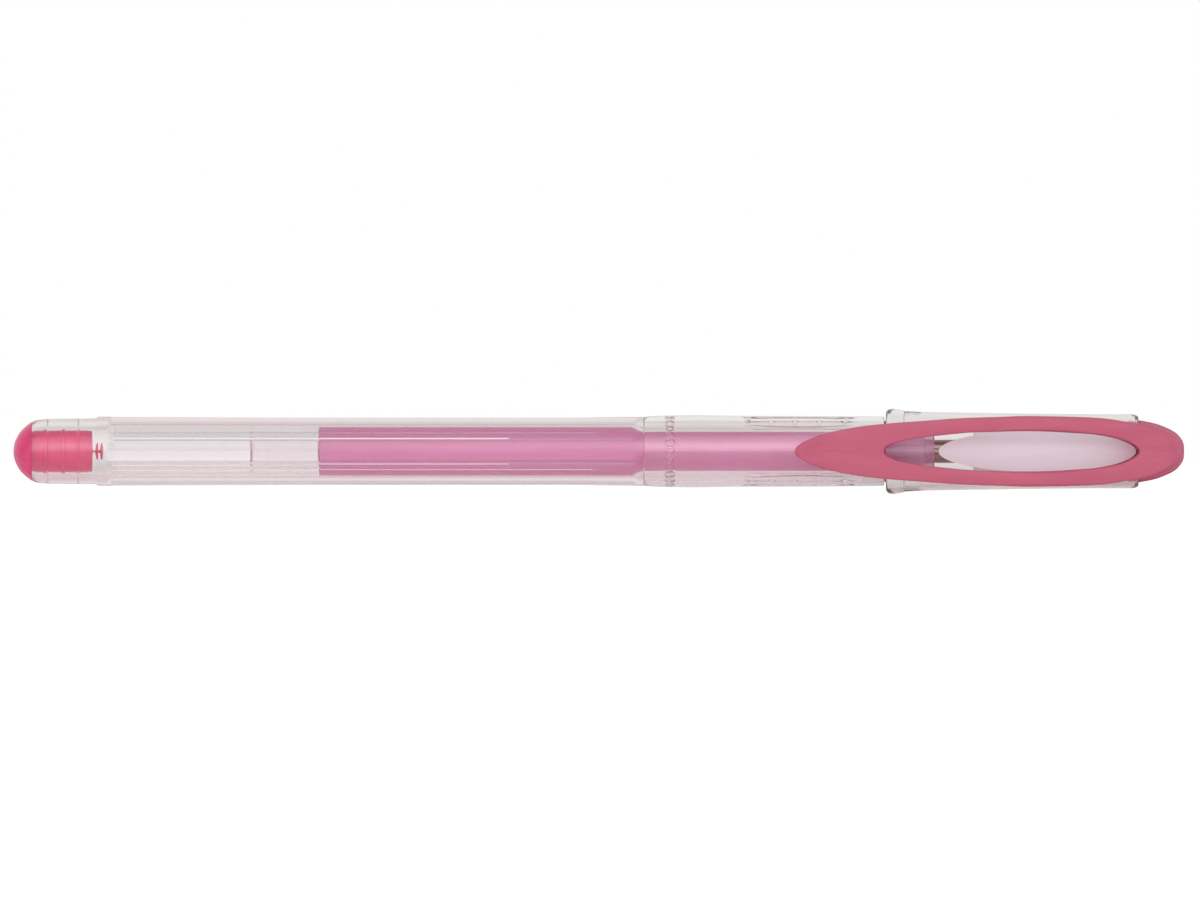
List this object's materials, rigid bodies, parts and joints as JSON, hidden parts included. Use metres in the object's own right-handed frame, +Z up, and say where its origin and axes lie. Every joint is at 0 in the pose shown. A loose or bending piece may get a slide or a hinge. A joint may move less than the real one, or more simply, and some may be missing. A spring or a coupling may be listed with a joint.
{
  "type": "gel pen",
  "caption": "Capped gel ink pen: clear barrel with soft grip, screw-in nose, replaceable refill, clear cap with a loop pocket clip.",
  "frame": {"origin": "on the pen's axis, halfway along the straight part of the barrel, where a holder grips it", "axes": "+X runs along the pen from the tail towards the cap's end, -Y is the side that the clip is on, +Z is up with the pen lying on its side"},
  "size_m": [0.1495, 0.0145, 0.0108],
  "materials": {
    "clear_barrel": "clear polystyrene, polished",
    "pink_tail": "moulded pink plastic, glossy",
    "clear_grip": "clear soft elastomer, slightly hazy",
    "lavender_nose": "tinted translucent plastic",
    "refill_plastic": "natural translucent polypropylene",
    "follower_grease": "cloudy cream gel",
    "pink_gel_ink": "metallic mauve pink gel ink",
    "holder_plastic": "milky translucent plastic",
    "valve_steel": "polished steel ball",
    "tip_metal": "turned nickel silver, polished",
    "spring_steel": "drawn spring wire",
    "ball_carbide": "ground tungsten carbide",
    "clear_cap": "clear polystyrene, polished",
    "inner_cap_plastic": "natural polyethylene",
    "seal_rubber": "soft white elastomer",
    "label_film": "pale lavender printed film, satin, with no print on it",
    "pink_clip": "moulded pink plastic with a pearly satin face"
  },
  "bodies": {
    "barrel": {"barrel_tube": "clear_barrel", "tail_plug": "pink_tail", "grip_sleeve": "clear_grip"},
    "nose": {"nose_cone": "lavender_nose"},
    "refill": {"refill_tube": "refill_plastic", "grease_follower": "follower_grease", "ink_column": "pink_gel_ink", "tip_holder": "holder_plastic", "valve_ball": "valve_steel", "metal_tip": "tip_metal", "tip_spring": "spring_steel"},
    "ball": {"writing_ball": "ball_carbide"},
    "cap": {"cap_tube": "clear_cap", "inner_cap": "inner_cap_plastic", "cap_seal": "seal_rubber", "cap_label": "label_film", "end_plug": "pink_clip"},
    "clip": {"clip_arm": "pink_clip"}
  },
  "joints": [
    {"name": "nose_pull", "type": "slide", "parent": "barrel", "child": "nose", "axis": [1, 0, 0], "range_m": [0, 0.135]},
    {"name": "refill_draw", "type": "slide", "parent": "nose", "child": "refill", "axis": [1, 0, 0], "range_m": [-0.027, 0]},
    {"name": "cap_pull", "type": "slide", "parent": "nose", "child": "cap", "axis": [1, 0, 0], "range_m": [0, 0.035]},
    {"name": "clip_flex", "type": "hinge", "parent": "cap", "child": "clip", "pos_m": [0.0903, -0.00795, 0], "axis": [0, 0, 1], "range_deg": [0, 8], "stiffness_Nm_per_rad": 0.5},
    {"name": "ball_roll", "type": "hinge", "parent": "refill", "child": "ball", "pos_m": [0.0732, 0, 0], "axis": [0, 0, 1], "continuous": true}
  ],
  "couplings": [
    {"joint": "refill_draw", "follows": "nose_pull", "ratio": -0.2}
  ]
}
